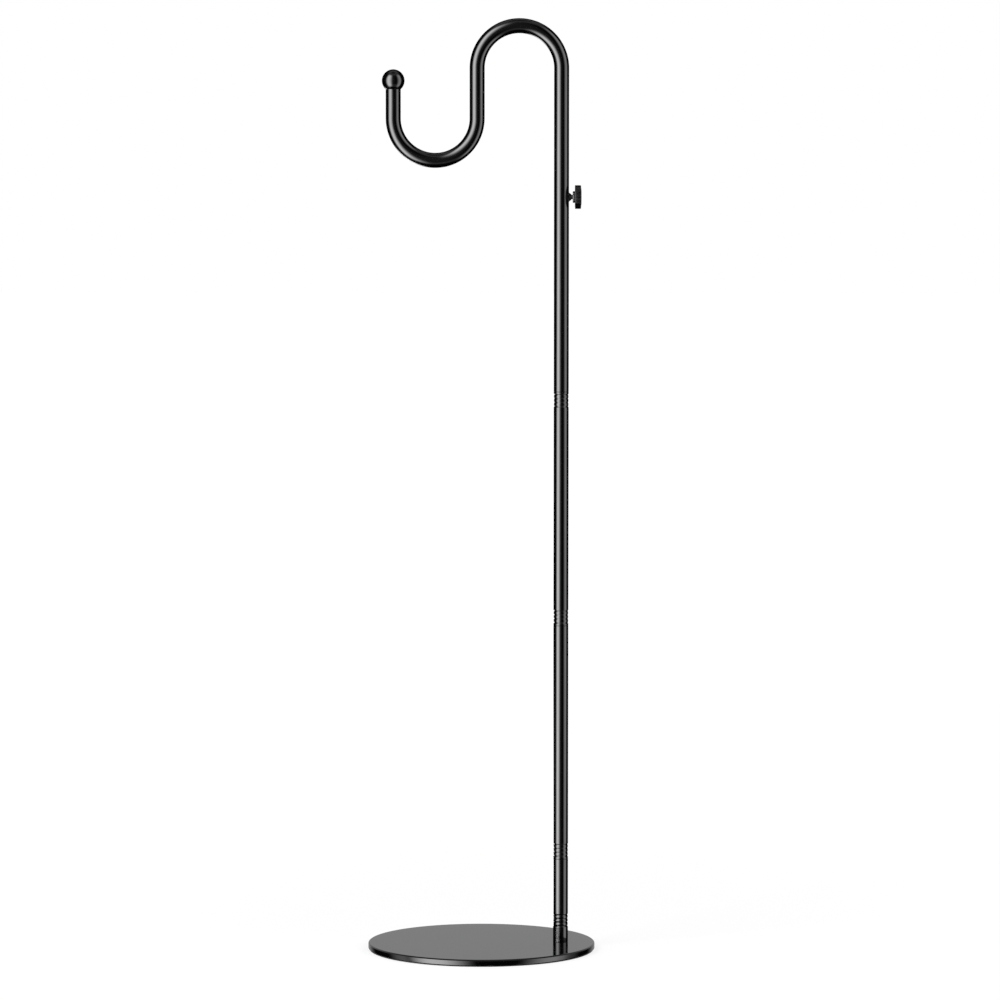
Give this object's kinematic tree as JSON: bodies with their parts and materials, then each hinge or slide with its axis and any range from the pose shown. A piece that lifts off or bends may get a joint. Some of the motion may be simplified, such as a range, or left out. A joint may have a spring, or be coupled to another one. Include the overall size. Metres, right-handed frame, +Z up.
{
  "type": "shepherd's hook stand",
  "caption": "Floor or table stand with a sectional pole off the middle of a round base and a turning, height-adjustable S-shaped hook that hangs a pot, basket or lantern over the base.",
  "frame": {"origin": "the middle of the round base, on the floor", "axes": "+Z up along the pole, +X from the middle of the base towards the pole and the thumb screw, the hook opens over the base towards -X"},
  "size_m": [0.2438, 0.2438, 0.9999],
  "materials": {
    "black_enamel": "gloss",
    "foam_rubber": "matt",
    "zinc_steel": "zinc plated",
    "black_screw": "satin",
    "nylon": "satin",
    "moulded_plastic": "semi-gloss"
  },
  "bodies": {
    "stand": {"base_plate": "black_enamel", "base_pad": "foam_rubber", "base_bolt": "zinc_steel", "foot_insert": "zinc_steel", "foot_tube": "black_enamel", "lower_joint_stud": "zinc_steel", "lower_joint_insert": "zinc_steel", "lower_tube": "black_enamel", "upper_joint_stud": "zinc_steel", "upper_joint_insert": "zinc_steel", "upper_tube": "black_enamel", "mast_sleeve": "zinc_steel", "mast": "black_enamel", "mast_cap": "nylon"},
    "hook_guide": {"guide_bush": "nylon"},
    "hook": {"hook_tube": "black_enamel", "tip_plug": "zinc_steel", "ball_finial": "black_enamel", "clamp_boss": "black_enamel"},
    "pressure_pad": {"clamp_pad": "nylon"},
    "thumb_screw": {"clamp_screw": "black_screw", "clamp_knob": "moulded_plastic"}
  },
  "joints": [
    {"name": "hook_height", "type": "slide", "parent": "stand", "child": "hook_guide", "axis": [0, 0, 1], "range_m": [0, 0.1]},
    {"name": "hook_swivel", "type": "hinge", "parent": "hook_guide", "child": "hook", "pos_m": [0.0852, 0, 0.6118], "axis": [0, 0, 1], "continuous": true},
    {"name": "clamp_pad_travel", "type": "slide", "parent": "hook", "child": "pressure_pad", "axis": [1, 0, 0], "range_m": [0, 0.0024]},
    {"name": "thumb_screw_turn", "type": "hinge", "parent": "pressure_pad", "child": "thumb_screw", "pos_m": [0.0852, 0, 0.8097], "axis": [1, 0, 0], "range_deg": [0, 1080]}
  ],
  "couplings": [
    {"joint": "thumb_screw_turn", "follows": "clamp_pad_travel", "rad_per_m": 7853.9}
  ]
}
